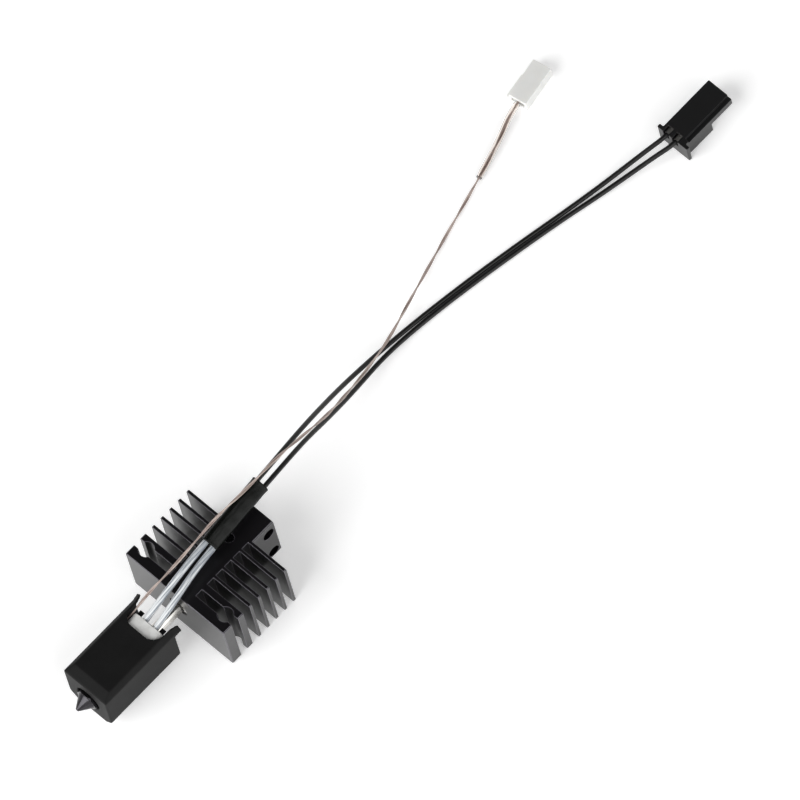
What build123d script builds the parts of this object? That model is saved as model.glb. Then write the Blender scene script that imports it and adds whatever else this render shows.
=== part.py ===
from build123d import *
import os
from math import cos, pi, radians, sin, tan

# Hotend of a desktop 3D printer, lying on its back with its harness laid out.
# The filament axis runs along Y and the nozzle points to -Y. X is the width of
# the heatsink, Z is up, and the back of the heatsink rests on Z = 0. Lengths are mm.

# ---- heatsink
sink_width = 40.0
sink_depth = 21.3
base_plate_t = 3.65
base_gap = 2.65
second_fin_t = 2.2
fin_t = 1.0
fin_gap = 2.69
fin_count = 5
web_width = 10.6
plate_corner = 0.3
edge_break = 0.2
corner_hole_d = 4.9
corner_hole_spacing = 32.2
block_width = 12.9
block_length = 8.55
block_depth = 18.8
block_corner = 0.45
cross_hole_d = 4.2
cross_hole_spacing = 11.8
cross_hole_from_front = 4.3
cross_hole_height = 5.75
axis_from_front = 9.3

# ---- heatbreak, liner and clamp screw
shank_d = 7.0
shank_recess = 0.4
neck_d = 4.0
thread_d = 6.0
filament_d = 2.0
liner_d = 4.0
liner_seat = 8.0
liner_recess = 0.3
shank_top_gap = 0.95
grub_d = 3.0
grub_length = 5.0
grub_height = 23.4
grub_hex = 1.5
grub_hex_depth = 1.4
slip = 0.02

# ---- heater, measured down from the heatsink's bottom face
core_top = 11.3
core_bottom = 36.2
core_d = 10.0
core_flange_d = 13.2
core_flange_t = 1.6
ring_d = 13.6
ring_top = 14.5
potting_left = -5.7
potting_right = 6.4
potting_front = 1.35
potting_back = 5.0
potting_bottom = 20.0
potting_corner_r = 2.0
clip_t = 0.4
clip_ring_d = 9.2
clip_finger_x = (-4.1, 4.75)
clip_finger_width = 1.6
clip_finger_front = 2.3
clip_bar_front = 4.3
clip_bar_width = 1.1
clip_lip = 1.3

# ---- thermistor capsule in the heater's front left corner
capsule_x = -6.3
capsule_z_off = 4.2
capsule_d = 1.8
capsule_top = 21.0
capsule_length = 7.0
capsule_end_r = 0.45

# ---- nozzle
nozzle_reach = 43.3
nozzle_gap = 0.1
nozzle_hex = 7.0
nozzle_hex_t = 3.0
nozzle_thread_length = 7.5
nozzle_cone_d = 6.2
nozzle_tip_d = 1.0
orifice_d = 0.4
orifice_length = 0.8
hex_corner_break = 0.35

# ---- silicone sock
sock_width = 17.2
sock_depth = 17.4
sock_wall = 1.2
sock_floor = 1.5
sock_top = 9.0
sock_bottom = 38.5
sock_front_corner = 1.5
sock_back_corner = 2.6
sock_ear_top = 6.6
sock_ear_depth = 3.2
sock_ear_flare = 0.5
sock_ear_lean = 0.1
sock_ear_tip_wall = 0.5
sock_ear_tip_inset = 0.2
sock_ear_tip_side = 0.8
sock_nozzle_hole_d = 8.7
sock_front_slope_height = 3.4
sock_front_slope_depth = 1.2
window_half = 6.7
window_bottom = 15.5
window_corner_r = 4.0
fit_gap = 0.15

# ---- harness
lead_d = 1.5
glass_sleeve_d = 2.0
lead_pitch = 2.8
lead_roll = 28.0
shrink_length = 24.0
shrink_setback = 9.0
shrink_wall = 0.4
sleeve_overlap = 1.5
ferrule_d = 2.2
ferrule_length = 7.0
ferrule_gap = 0.06
thermistor_lead_d = 1.0
clear_tube_d = 2.2

# ---- heater connector, its wire end at the lower Y
plug_wire_end = 209.0
plug_left = 1.0
plug_width = 9.2
plug_height = 7.4
plug_length = 20.9
plug_rear_length = 12.0
plug_tongue_bottom = 3.9
plug_flange_t = 1.2
plug_flange_left = -0.4
plug_flange_width = 12.1
plug_rail_width = 1.45
plug_rail_drop = 0.9
plug_rail_start = 2.4
plug_contact_x = (3.05, 6.65)
plug_contact_z = 5.6
plug_cavity = 2.0
plug_channel = 2.2
plug_channel_length = 2.4
plug_terminal = 1.8
plug_terminal_start = 2.6
plug_terminal_length = 16.9
plug_crimp_d = 2.1
plug_crimp_length = 2.0
plug_pin_slot = 1.0
plug_pin_depth = 6.0

# ---- thermistor connector, turned a little from Y
jack_turn = 9.5
jack_x = -39.47
jack_y = 189.35
jack_width = 6.35
jack_length = 13.5
jack_height = 4.5
jack_contact_z = 2.3
jack_pitch = 2.0
jack_cavity_width = 1.4
jack_cavity_height = 1.7
jack_pocket_width = 4.6
jack_pocket_height = 2.0
jack_pocket_depth = 2.5
jack_terminal_width = 1.3
jack_terminal_height = 1.5
jack_terminal_length = 9.0
jack_rib_height = 1.8
jack_rib_low = 0.8
jack_ribs = ((0.0, 8.2, 1.0), (9.4, 2.4, 0.5))

# ---- places worked out from the sizes above
fins_top = base_plate_t + base_gap + second_fin_t + fin_count * (fin_gap + fin_t)
body_height = fins_top + block_length
sink_y = (nozzle_reach - body_height) / 2
axis_z = sink_depth - axis_from_front
front_edge = -axis_from_front
plate_mid = sink_depth / 2 - axis_from_front
axis_plane = Plane(origin=(0, sink_y, axis_z))
front_plane = Plane(origin=(0, sink_y, sink_depth))
side_plane = Plane(origin=(0, sink_y, sink_depth), x_dir=(0, 1, 0), z_dir=(1, 0, 0))
filament_axis = Axis((0, sink_y, axis_z), (0, 1, 0))


def across(height):
    """Plane across the filament axis; its y runs from the front towards the back."""
    return Plane(origin=(0, sink_y + height, axis_z), x_dir=(1, 0, 0), z_dir=(0, 1, 0))


def span(low, high):
    """Centre and size of a stretch."""
    return (low + high) / 2, high - low


# ---- routes of the cords, one point for each bend
across_leads = Vector(lead_pitch * cos(radians(lead_roll)), 0, -lead_pitch * sin(radians(lead_roll)))
lead_left_route = [
    (-1.8, -8.9, 17.6),
    (-0.9, 2.0, 24.4),
    (-1.45, 12.0, 26.3),
    (-3.2, 32.0, 26.9),
    (-4.85, 52.0, 26.3),
    (-7.5, 66.5, 22.4),
    (-11.2, 79.0, 14.2),
    (-14.0, 91.0, 7.0),
    (-15.0, 105.5, 2.4),
    (-14.0, 121.0, 0.8),
    (-11.5, 138.0, 0.8),
    (-8.4, 155.5, 0.8),
    (-5.2, 171.5, 0.8),
    (-2.8, 184.5, 0.8),
    (-0.1, 197.0, 2.6),
    (1.6, 203.2, 4.3),
    (3.05, 208.0, 5.6),
    (3.05, 211.6, 5.6),
]
lead_right_route = [
    (2.4, -8.9, 17.6),
    (3.0, 2.0, 24.6),
    (1.022, 12.0, 24.985),
    (-0.728, 32.0, 25.585),
    (-2.378, 52.0, 24.985),
    (-5.0, 65.0, 20.3),
    (-7.9, 77.0, 12.4),
    (-10.9, 89.5, 5.6),
    (-13.4, 104.5, 1.7),
    (-12.4, 120.8, 0.8),
    (-9.9, 137.7, 0.8),
    (-6.8, 155.2, 0.8),
    (-3.6, 171.2, 0.8),
    (-0.6, 184.0, 0.8),
    (2.85, 197.0, 2.6),
    (4.95, 203.2, 4.4),
    (6.65, 208.0, 5.6),
    (6.65, 211.6, 5.6),
]
thermistor_route = [
    (-6.3, -17.1, 16.2),
    (-6.3, -13.1, 16.2),
    (-6.2, -7.6, 18.7),
    (-5.4, -0.2, 22.8),
    (-4.2, 8.4, 25.7),
    (-3.7, 18.4, 28.9),
    (-3.5, 29.4, 30.9),
    (-2.7, 40.8, 31.3),
    (-3.4, 52.5, 30.2),
    (-3.8, 63.5, 26.8),
    (-5.2, 74.5, 21.0),
    (-8.2, 85.0, 14.6),
    (-11.1, 96.0, 9.4),
    (-14.3, 108.0, 6.2),
    (-19.0, 120.5, 3.4),
    (-23.3, 133.0, 1.0),
    (-27.0, 145.5, 0.65),
    (-30.1, 157.5, 0.9),
    (-33.4, 169.5, 1.2),
    (-36.4, 179.0, 1.5),
    (-38.81, 185.4, 2.3),
    (-39.883, 191.816, 2.3),
]


def bend_radii(route):
    """Radius of each bend: 0.45 of the shorter run over the tangent of half the turn."""
    points = [Vector(*p) for p in route]
    radii = []
    for before, corner, after in zip(points, points[1:], points[2:]):
        run_in, run_out = corner - before, after - corner
        half_turn = radians(run_in.get_angle(run_out)) / 2
        radii.append(0.45 * min(run_in.length, run_out.length) / tan(half_turn))
    return radii


def towards(start, end, distance):
    """Point on the run from start to end."""
    start, end = Vector(*start), Vector(*end)
    return start + (end - start).normalized() * distance


def halfway(start, end):
    return (Vector(*start) + Vector(*end)) / 2


lead_left_radii = bend_radii(lead_left_route)
lead_right_radii = bend_radii(lead_right_route)
thermistor_radii = bend_radii(thermistor_route)
for cord_name, cord_radii in (
    ("left heater lead", lead_left_radii),
    ("right heater lead", lead_right_radii),
    ("thermistor leads", thermistor_radii),
):
    print(cord_name, "radii:", [round(r, 1) for r in cord_radii])

# ---- heatsink: fins on a web, with the clamp block on top
with BuildPart() as heatsink:
    plates = [(0, base_plate_t), (base_plate_t + base_gap, second_fin_t)]
    first_thin_fin = base_plate_t + base_gap + second_fin_t + fin_gap
    plates += [(first_thin_fin + i * (fin_gap + fin_t), fin_t) for i in range(fin_count)]
    for plate_low, plate_thickness in plates:
        with BuildSketch(across(plate_low)) as plate_outline:
            with Locations((0, plate_mid)):
                Rectangle(sink_width, sink_depth)
            chamfer(plate_outline.vertices(), plate_corner)
        extrude(amount=plate_thickness)
    base_plate_rim = faces().sort_by(Axis.Y)[0].edges()
    chamfer(base_plate_rim, edge_break)
    with BuildSketch(across(0)):
        with Locations((0, plate_mid)):
            Rectangle(web_width, sink_depth)
    extrude(amount=fins_top)
    with BuildSketch(across(fins_top)) as block_outline:
        with Locations((0, front_edge + block_depth / 2)):
            Rectangle(block_width, block_depth)
        chamfer(block_outline.vertices(), block_corner)
    extrude(amount=block_length)
    with BuildSketch(front_plane):
        for side in (-1, 1):
            with Locations((side * corner_hole_spacing / 2, base_plate_t + base_gap / 2)):
                Circle(corner_hole_d / 2)
    extrude(amount=-sink_depth, mode=Mode.SUBTRACT)
    with BuildSketch(side_plane):
        for depth in (cross_hole_from_front, cross_hole_from_front + cross_hole_spacing):
            with Locations((fins_top + cross_hole_height, -depth)):
                Circle(cross_hole_d / 2)
    extrude(amount=block_width, both=True, mode=Mode.SUBTRACT)
    with BuildSketch(across(0)):
        Circle(shank_d / 2 + slip)
    extrude(amount=fins_top - shank_top_gap + slip, mode=Mode.SUBTRACT)
    with BuildSketch(across(0)):
        Circle(liner_d / 2 + slip)
    extrude(amount=body_height, mode=Mode.SUBTRACT)
    with BuildSketch(front_plane):
        with Locations((0, grub_height)):
            Circle(grub_d / 2 + slip)
    extrude(amount=-axis_from_front, mode=Mode.SUBTRACT)

# ---- heatbreak: threaded end, thin neck, and the shank clamped in the heatsink
shank_top = fins_top - shank_top_gap
nozzle_shoulder = core_bottom + nozzle_gap
nozzle_thread_top = nozzle_shoulder - nozzle_thread_length
with BuildPart() as heatbreak:
    with BuildSketch(axis_plane):
        with BuildLine():
            Polyline(
                (filament_d / 2, -nozzle_thread_top),
                (thread_d / 2, -nozzle_thread_top),
                (thread_d / 2, -core_top),
                (neck_d / 2, -core_top),
                (neck_d / 2, shank_recess),
                (shank_d / 2, shank_recess),
                (shank_d / 2, shank_top),
                (liner_d / 2 + slip, shank_top),
                (liner_d / 2 + slip, shank_top - liner_seat),
                (filament_d / 2, shank_top - liner_seat),
                close=True,
            )
        make_face()
    revolve(axis=filament_axis)

with BuildPart() as ptfe_liner:
    with BuildSketch(across(shank_top - liner_seat)):
        Circle(liner_d / 2)
        Circle(filament_d / 2, mode=Mode.SUBTRACT)
    extrude(amount=body_height - liner_recess - shank_top + liner_seat)

with BuildPart() as heatbreak_grub_screw:
    grub_plane = Plane(origin=(0, sink_y + grub_height, axis_z + shank_d / 2))
    with BuildSketch(grub_plane):
        Circle(grub_d / 2)
    extrude(amount=grub_length)
    with BuildSketch(grub_plane.offset(grub_length)):
        RegularPolygon(grub_hex / 2, 6, major_radius=False)
    extrude(amount=-grub_hex_depth, mode=Mode.SUBTRACT)

# ---- heater core, the ceramic ring round it and the potting over its terminals
with BuildPart() as heater_core:
    with BuildSketch(across(-core_bottom)):
        Circle(core_d / 2)
    extrude(amount=core_bottom - core_top)
    with BuildSketch(across(-core_bottom)):
        Circle(core_flange_d / 2)
    extrude(amount=core_flange_t)
    with BuildSketch(across(-core_bottom)):
        Circle(thread_d / 2 + slip)
    extrude(amount=core_bottom - core_top, mode=Mode.SUBTRACT)

ring_bottom = core_bottom - core_flange_t
with BuildPart() as ceramic_heater_ring:
    with BuildSketch(across(-ring_bottom)):
        Circle(ring_d / 2)
        Circle(core_d / 2 + slip, mode=Mode.SUBTRACT)
    extrude(amount=ring_bottom - ring_top)
    with BuildSketch(across(-capsule_top - capsule_length)):
        with Locations((capsule_x, -capsule_z_off)):
            Circle(capsule_d / 2 + slip)
    extrude(amount=capsule_length, mode=Mode.SUBTRACT)

with BuildPart() as terminal_potting:
    potting_x, potting_width = span(potting_left, potting_right)
    potting_y, potting_depth = span(front_edge + potting_front, front_edge + potting_back)
    with BuildSketch(across(-potting_bottom)) as potting_outline:
        with Locations((potting_x, potting_y)):
            Rectangle(potting_width, potting_depth)
        fillet(potting_outline.vertices().group_by(Axis.Y)[0], potting_corner_r)
    extrude(amount=potting_bottom - core_top)
    with BuildSketch(across(-potting_bottom)):
        Circle(ring_d / 2 + slip)
    extrude(amount=potting_bottom - ring_top + slip, mode=Mode.SUBTRACT)
    with BuildSketch(across(-potting_bottom)):
        Circle(core_d / 2 + slip)
    extrude(amount=potting_bottom - core_top, mode=Mode.SUBTRACT)
    for route in (lead_left_route, lead_right_route):
        lead_direction = Vector(*route[1]) - Vector(*route[0])
        with BuildSketch(Plane(origin=route[0], z_dir=lead_direction)):
            Circle(glass_sleeve_d / 2 + slip)
        extrude(amount=potting_depth, mode=Mode.SUBTRACT)

# ---- clip over the top of the heater, with two fingers that end in upturned lips
with BuildPart() as retainer_clip:
    clip_left = clip_finger_x[0] - clip_finger_width / 2
    clip_right = clip_finger_x[1] + clip_finger_width / 2
    bar_x, bar_width = span(clip_left, clip_right)
    finger_y, finger_length = span(clip_finger_front, clip_bar_front + clip_bar_width)
    with BuildSketch(across(-core_top)):
        Circle(clip_ring_d / 2)
        with Locations((bar_x, front_edge + clip_bar_front + clip_bar_width / 2)):
            Rectangle(bar_width, clip_bar_width)
        for x in clip_finger_x:
            with Locations((x, front_edge + finger_y)):
                Rectangle(clip_finger_width, finger_length)
        Circle(neck_d / 2 + fit_gap, mode=Mode.SUBTRACT)
    extrude(amount=clip_t)
    with BuildSketch(across(-core_top)):
        for x in clip_finger_x:
            with Locations((x, front_edge + clip_finger_front + clip_t / 2)):
                Rectangle(clip_finger_width, clip_t)
    extrude(amount=clip_t + clip_lip)

with BuildPart() as thermistor_capsule:
    with BuildSketch(across(-capsule_top - capsule_length)):
        with Locations((capsule_x, -capsule_z_off)):
            Circle(capsule_d / 2)
    extrude(amount=capsule_length)
    fillet(faces().sort_by(Axis.Y)[0].edges(), capsule_end_r)

# ---- nozzle
hex_bottom = nozzle_shoulder + nozzle_hex_t
with BuildPart() as nozzle:
    with BuildSketch(across(-hex_bottom)):
        RegularPolygon(nozzle_hex / 2, 6, major_radius=False)
    extrude(amount=nozzle_hex_t)
    with BuildSketch(axis_plane):
        hex_corner_r = nozzle_hex / 3**0.5
        with BuildLine():
            Polyline(
                (0, -hex_bottom),
                (hex_corner_r - hex_corner_break, -hex_bottom),
                (hex_corner_r, -hex_bottom + hex_corner_break),
                (hex_corner_r, -nozzle_shoulder),
                (0, -nozzle_shoulder),
                close=True,
            )
        make_face()
    revolve(axis=filament_axis, mode=Mode.INTERSECT)
    with BuildSketch(axis_plane):
        with BuildLine():
            Polyline(
                (0, -nozzle_reach),
                (nozzle_tip_d / 2, -nozzle_reach),
                (nozzle_cone_d / 2, -hex_bottom),
                (thread_d / 2, -hex_bottom),
                (thread_d / 2, -nozzle_thread_top),
                (0, -nozzle_thread_top),
                close=True,
            )
        make_face()
    revolve(axis=filament_axis)
    with BuildSketch(axis_plane):
        with BuildLine():
            Polyline(
                (0, -nozzle_reach),
                (orifice_d / 2, -nozzle_reach),
                (orifice_d / 2, -nozzle_reach + orifice_length),
                (filament_d / 2, -nozzle_reach + orifice_length + filament_d / 2),
                (filament_d / 2, -nozzle_thread_top),
                (0, -nozzle_thread_top),
                close=True,
            )
        make_face()
    revolve(axis=filament_axis, mode=Mode.SUBTRACT)

# ---- silicone sock: a boot open at the top, with a window for the leads and two ears
sock_length = sock_bottom - sock_top
sock_mid = front_edge + sock_depth / 2
cavity_corner = sock_front_corner - sock_wall / 2
with BuildPart() as silicone_sock:
    with BuildSketch(across(-sock_bottom)) as sock_outline:
        with Locations((0, sock_mid)):
            Rectangle(sock_width, sock_depth)
        chamfer(sock_outline.vertices().group_by(Axis.Y)[0], sock_front_corner)
        chamfer(sock_outline.vertices().group_by(Axis.Y)[-1], sock_back_corner)
    extrude(amount=sock_length)
    with BuildSketch(side_plane.offset(-sock_width)):
        with BuildLine():
            Polyline(
                (-sock_bottom, 0),
                (-sock_bottom + sock_front_slope_height, 0),
                (-sock_bottom, -sock_front_slope_depth),
                close=True,
            )
        make_face()
    extrude(amount=2 * sock_width, mode=Mode.SUBTRACT)
    ear_root_half = sock_width / 2 - sock_front_corner
    for side in (-1, 1):
        with BuildSketch(across(-sock_top)):
            with BuildLine():
                Polyline(
                    (side * window_half, front_edge),
                    (side * ear_root_half, front_edge),
                    (side * sock_width / 2, front_edge + sock_front_corner),
                    (side * sock_width / 2, front_edge + sock_ear_depth),
                    (side * (sock_width / 2 - sock_wall), front_edge + sock_ear_depth),
                    (side * window_half, front_edge + sock_wall),
                    close=True,
                )
            make_face()
        tip_front = front_edge + sock_ear_lean
        tip_back = front_edge + sock_front_corner + sock_ear_tip_wall
        tip_in = ear_root_half + sock_ear_tip_inset
        with BuildSketch(across(-sock_ear_top)):
            with BuildLine():
                Polyline(
                    (side * tip_in, tip_front),
                    (side * (ear_root_half + sock_ear_flare), tip_front),
                    (side * (sock_width / 2 + sock_ear_flare), front_edge + sock_front_corner),
                    (side * (sock_width / 2 + sock_ear_flare), tip_back),
                    (side * (sock_width / 2 + sock_ear_flare - sock_ear_tip_side), tip_back),
                    (side * tip_in, tip_front + sock_ear_tip_wall),
                    close=True,
                )
            make_face()
        loft()
    with BuildSketch(across(-sock_bottom + sock_floor)) as cavity_outline:
        with Locations((0, sock_mid)):
            Rectangle(sock_width - 2 * sock_wall, sock_depth - 2 * sock_wall)
        fillet(cavity_outline.vertices().group_by(Axis.Y)[0], cavity_corner)
        chamfer(cavity_outline.vertices().group_by(Axis.Y)[-1], sock_back_corner - sock_wall / 2)
    extrude(amount=sock_length, mode=Mode.SUBTRACT)
    with BuildSketch(across(-sock_bottom)):
        Circle(sock_nozzle_hole_d / 2)
    extrude(amount=sock_floor, mode=Mode.SUBTRACT)
    window_y, window_height = span(-window_bottom, 0)
    with BuildSketch(front_plane) as window_outline:
        with Locations((0, window_y)):
            Rectangle(2 * window_half, window_height)
        fillet(window_outline.vertices().group_by(Axis.Y)[0], window_corner_r)
    extrude(amount=-sock_wall - fit_gap, mode=Mode.SUBTRACT)


# ---- heater leads, each one run from the heater to its contact
def lead_start(route):
    """Plane at a route's first point, across its first run."""
    return Plane(origin=route[0], z_dir=Vector(*route[1]) - Vector(*route[0]))


with BuildPart() as heater_lead_left:
    with BuildLine():
        FilletPolyline(*lead_left_route, radius=lead_left_radii)
    with BuildSketch(lead_start(lead_left_route)):
        Circle(lead_d / 2)
    sweep()

with BuildPart() as heater_lead_right:
    with BuildLine():
        FilletPolyline(*lead_right_route, radius=lead_right_radii)
    with BuildSketch(lead_start(lead_right_route)):
        Circle(lead_d / 2)
    sweep()

sleeve_reach = shrink_setback + sleeve_overlap
left_sleeve_route = lead_left_route[:3] + [towards(*lead_left_route[2:4], sleeve_reach)]
right_sleeve_route = lead_right_route[:3] + [towards(*lead_right_route[2:4], sleeve_reach)]
with BuildPart() as glass_sleeve_left:
    with BuildLine():
        FilletPolyline(*left_sleeve_route, radius=lead_left_radii[:2])
    with BuildSketch(lead_start(lead_left_route)):
        Circle(glass_sleeve_d / 2)
        Circle(lead_d / 2 + slip, mode=Mode.SUBTRACT)
    sweep()

with BuildPart() as glass_sleeve_right:
    with BuildLine():
        FilletPolyline(*right_sleeve_route, radius=lead_right_radii[:2])
    with BuildSketch(lead_start(lead_right_route)):
        Circle(glass_sleeve_d / 2)
        Circle(lead_d / 2 + slip, mode=Mode.SUBTRACT)
    sweep()

# ---- shrink sleeve over the joints in both leads, and a crimp ferrule on each
bundle_route = [halfway(*pair) for pair in zip(lead_left_route[2:5], lead_right_route[2:5])]
shrink_start = towards(bundle_route[0], bundle_route[1], shrink_setback)
shrink_first_run = (bundle_route[1] - shrink_start).length
shrink_end = towards(bundle_route[1], bundle_route[2], shrink_length - shrink_first_run)
shrink_inner_d = ferrule_d + 2 * slip
with BuildPart() as shrink_sleeve:
    with BuildLine() as shrink_line:
        FilletPolyline(shrink_start, bundle_route[1], shrink_end, radius=lead_left_radii[2:3])
    shrink_wire = shrink_line.wire()
    shrink_plane = Plane(origin=shrink_wire @ 0, x_dir=across_leads, z_dir=shrink_wire % 0)
    with BuildSketch(shrink_plane):
        SlotCenterToCenter(lead_pitch, shrink_inner_d + 2 * shrink_wall)
        SlotCenterToCenter(lead_pitch, shrink_inner_d, mode=Mode.SUBTRACT)
    sweep()

with BuildPart() as crimp_ferrules:
    ferrule_plane = Plane(origin=shrink_wire @ 0.5, x_dir=across_leads, z_dir=shrink_wire % 0.5)
    with BuildSketch(ferrule_plane):
        with Locations((-lead_pitch / 2, 0), (lead_pitch / 2, 0)):
            Circle(ferrule_d / 2)
            Circle(lead_d / 2 + ferrule_gap, mode=Mode.SUBTRACT)
    extrude(amount=ferrule_length / 2, both=True)

# ---- thermistor leads, with a clear tube over their last stretch
with BuildPart() as thermistor_leads:
    with BuildLine():
        FilletPolyline(*thermistor_route, radius=thermistor_radii)
    with BuildSketch(lead_start(thermistor_route)):
        Circle(thermistor_lead_d / 2)
    sweep()

jack_axis = Vector(-sin(radians(jack_turn)), cos(radians(jack_turn)), 0)
jack_plane = Plane(origin=(jack_x, jack_y, 0), x_dir=(jack_axis.Y, -jack_axis.X, 0), z_dir=(0, 0, 1))
clear_tube_start = halfway(*thermistor_route[16:18])
clear_tube_end = towards(thermistor_route[-1], thermistor_route[-2], jack_pocket_depth)
clear_tube_route = [clear_tube_start] + thermistor_route[17:21] + [clear_tube_end]
with BuildPart() as clear_tube:
    with BuildLine():
        FilletPolyline(*clear_tube_route, radius=thermistor_radii[16:20])
    tube_direction = Vector(*thermistor_route[17]) - clear_tube_start
    with BuildSketch(Plane(origin=clear_tube_start, z_dir=tube_direction)):
        Circle(clear_tube_d / 2)
        Circle(thermistor_lead_d / 2 + slip, mode=Mode.SUBTRACT)
    sweep()

# ---- heater connector: flanged rear block, thinner tongue, a stepped rail on the right
plug_right = plug_left + plug_width
plug_plane = Plane(origin=(0, plug_wire_end, 0))
with BuildPart() as heater_connector_housing:
    with BuildSketch(plug_plane):
        with Locations((plug_left, 0)):
            Rectangle(plug_width, plug_rear_length, align=(Align.MIN, Align.MIN))
    extrude(amount=plug_height)
    with BuildSketch(plug_plane.offset(plug_tongue_bottom)):
        with Locations((plug_left, plug_rear_length)):
            Rectangle(plug_width, plug_length - plug_rear_length, align=(Align.MIN, Align.MIN))
    extrude(amount=plug_height - plug_tongue_bottom)
    with BuildSketch(plug_plane.offset(plug_height)):
        with Locations((plug_right, plug_rail_start)):
            Rectangle(plug_rail_width, plug_length, align=(Align.MAX, Align.MIN))
    extrude(amount=-plug_rail_drop, mode=Mode.SUBTRACT)
    with BuildSketch(plug_plane):
        with Locations((plug_flange_left, 0)):
            Rectangle(plug_flange_width, plug_flange_t, align=(Align.MIN, Align.MIN))
    extrude(amount=plug_height)
    chamfer(edges().filter_by(Axis.Z), edge_break)
    with BuildSketch(Plane.XZ.offset(-plug_wire_end)):
        for x in plug_contact_x:
            with Locations((x, plug_contact_z)):
                Rectangle(plug_cavity, plug_cavity)
    extrude(amount=-plug_length, mode=Mode.SUBTRACT)
    channel_floor = plug_contact_z - plug_channel / 2
    with BuildSketch(plug_plane.offset(channel_floor)):
        for x in plug_contact_x:
            with Locations((x, plug_channel_length / 2)):
                Rectangle(plug_channel, plug_channel_length)
    extrude(amount=plug_height, mode=Mode.SUBTRACT)

terminal_rear = Plane.XZ.offset(-(plug_wire_end + plug_terminal_start))
terminal_front = terminal_rear.offset(-plug_terminal_length)
with BuildPart() as heater_connector_terminals:
    with BuildSketch(terminal_rear):
        for x in plug_contact_x:
            with Locations((x, plug_contact_z)):
                Rectangle(plug_terminal, plug_terminal)
    extrude(amount=-plug_terminal_length)
    with BuildSketch(terminal_rear):
        for x in plug_contact_x:
            with Locations((x, plug_contact_z)):
                Circle(plug_crimp_d / 2)
                Circle(lead_d / 2 + slip, mode=Mode.SUBTRACT)
    extrude(amount=plug_crimp_length)
    with BuildSketch(terminal_front):
        for x in plug_contact_x:
            with Locations((x, plug_contact_z)):
                Rectangle(plug_pin_slot, plug_pin_slot)
    extrude(amount=plug_pin_depth, mode=Mode.SUBTRACT)

# ---- thermistor connector: small two-way housing with ribs on its left side
jack_end_plane = Plane(origin=(jack_x, jack_y, jack_contact_z), x_dir=jack_plane.x_dir, z_dir=jack_axis)
with BuildPart() as thermistor_connector_housing:
    with BuildSketch(jack_plane):
        with Locations((0, jack_length / 2)):
            Rectangle(jack_width, jack_length)
    extrude(amount=jack_height)
    with BuildSketch(jack_plane.offset(jack_rib_low)):
        for rib_start, rib_length, rib_reach in jack_ribs:
            with Locations((-jack_width / 2 - rib_reach, rib_start)):
                Rectangle(rib_reach, rib_length, align=(Align.MIN, Align.MIN))
    extrude(amount=jack_rib_height)
    chamfer(edges().filter_by(Axis.Z), edge_break)
    with BuildSketch(jack_end_plane):
        Rectangle(jack_pocket_width, jack_pocket_height)
    extrude(amount=jack_pocket_depth, mode=Mode.SUBTRACT)
    with BuildSketch(jack_end_plane):
        with Locations((-jack_pitch / 2, 0), (jack_pitch / 2, 0)):
            Rectangle(jack_cavity_width, jack_cavity_height)
    extrude(amount=jack_length, mode=Mode.SUBTRACT)

with BuildPart() as thermistor_connector_terminals:
    with BuildSketch(jack_end_plane.offset(jack_pocket_depth)):
        with Locations((-jack_pitch / 2, 0), (jack_pitch / 2, 0)):
            Rectangle(jack_terminal_width, jack_terminal_height)
    extrude(amount=jack_terminal_length)

# ---- tube volumes against section times length
for cord_name, cord_part, cord_d in (
    ("left heater lead", heater_lead_left, lead_d),
    ("right heater lead", heater_lead_right, lead_d),
    ("thermistor leads", thermistor_leads, thermistor_lead_d),
):
    section = pi * cord_d**2 / 4
    print(cord_name, "length from volume:", round(cord_part.part.volume / section, 1), "mm")

os.makedirs("parts", exist_ok=True)
pieces = {
    "heatsink": heatsink,
    "heatbreak": heatbreak,
    "ptfe_liner": ptfe_liner,
    "heatbreak_grub_screw": heatbreak_grub_screw,
    "heater_core": heater_core,
    "ceramic_heater_ring": ceramic_heater_ring,
    "terminal_potting": terminal_potting,
    "retainer_clip": retainer_clip,
    "thermistor_capsule": thermistor_capsule,
    "nozzle": nozzle,
    "silicone_sock": silicone_sock,
    "heater_lead_left": heater_lead_left,
    "heater_lead_right": heater_lead_right,
    "glass_sleeve_left": glass_sleeve_left,
    "glass_sleeve_right": glass_sleeve_right,
    "shrink_sleeve": shrink_sleeve,
    "crimp_ferrules": crimp_ferrules,
    "thermistor_leads": thermistor_leads,
    "clear_tube": clear_tube,
    "heater_connector_housing": heater_connector_housing,
    "heater_connector_terminals": heater_connector_terminals,
    "thermistor_connector_housing": thermistor_connector_housing,
    "thermistor_connector_terminals": thermistor_connector_terminals,
}
for name, piece in pieces.items():
    piece.part.label = name
    export_step(piece.part, f"parts/{name}.step")
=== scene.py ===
# %% [markdown]
# # A printer's hotend with its wiring
#
# A hotend melts plastic filament and lays it down through a nozzle. This one is a black
# aluminium heatsink, a thin steel neck, a ceramic heater in a silicone sock, and a harness
# of two heater wires and one pair of thermistor wires, each ending in a small connector.
# The measured parts come from the CAD model. The lesson adds what CAD leaves plain: the
# soft edges, the fibres, the twist of the wires and every surface finish.

from math import cos, pi, radians, sin

import bmesh
import bpy
from mathutils import Matrix, Vector, noise


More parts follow.
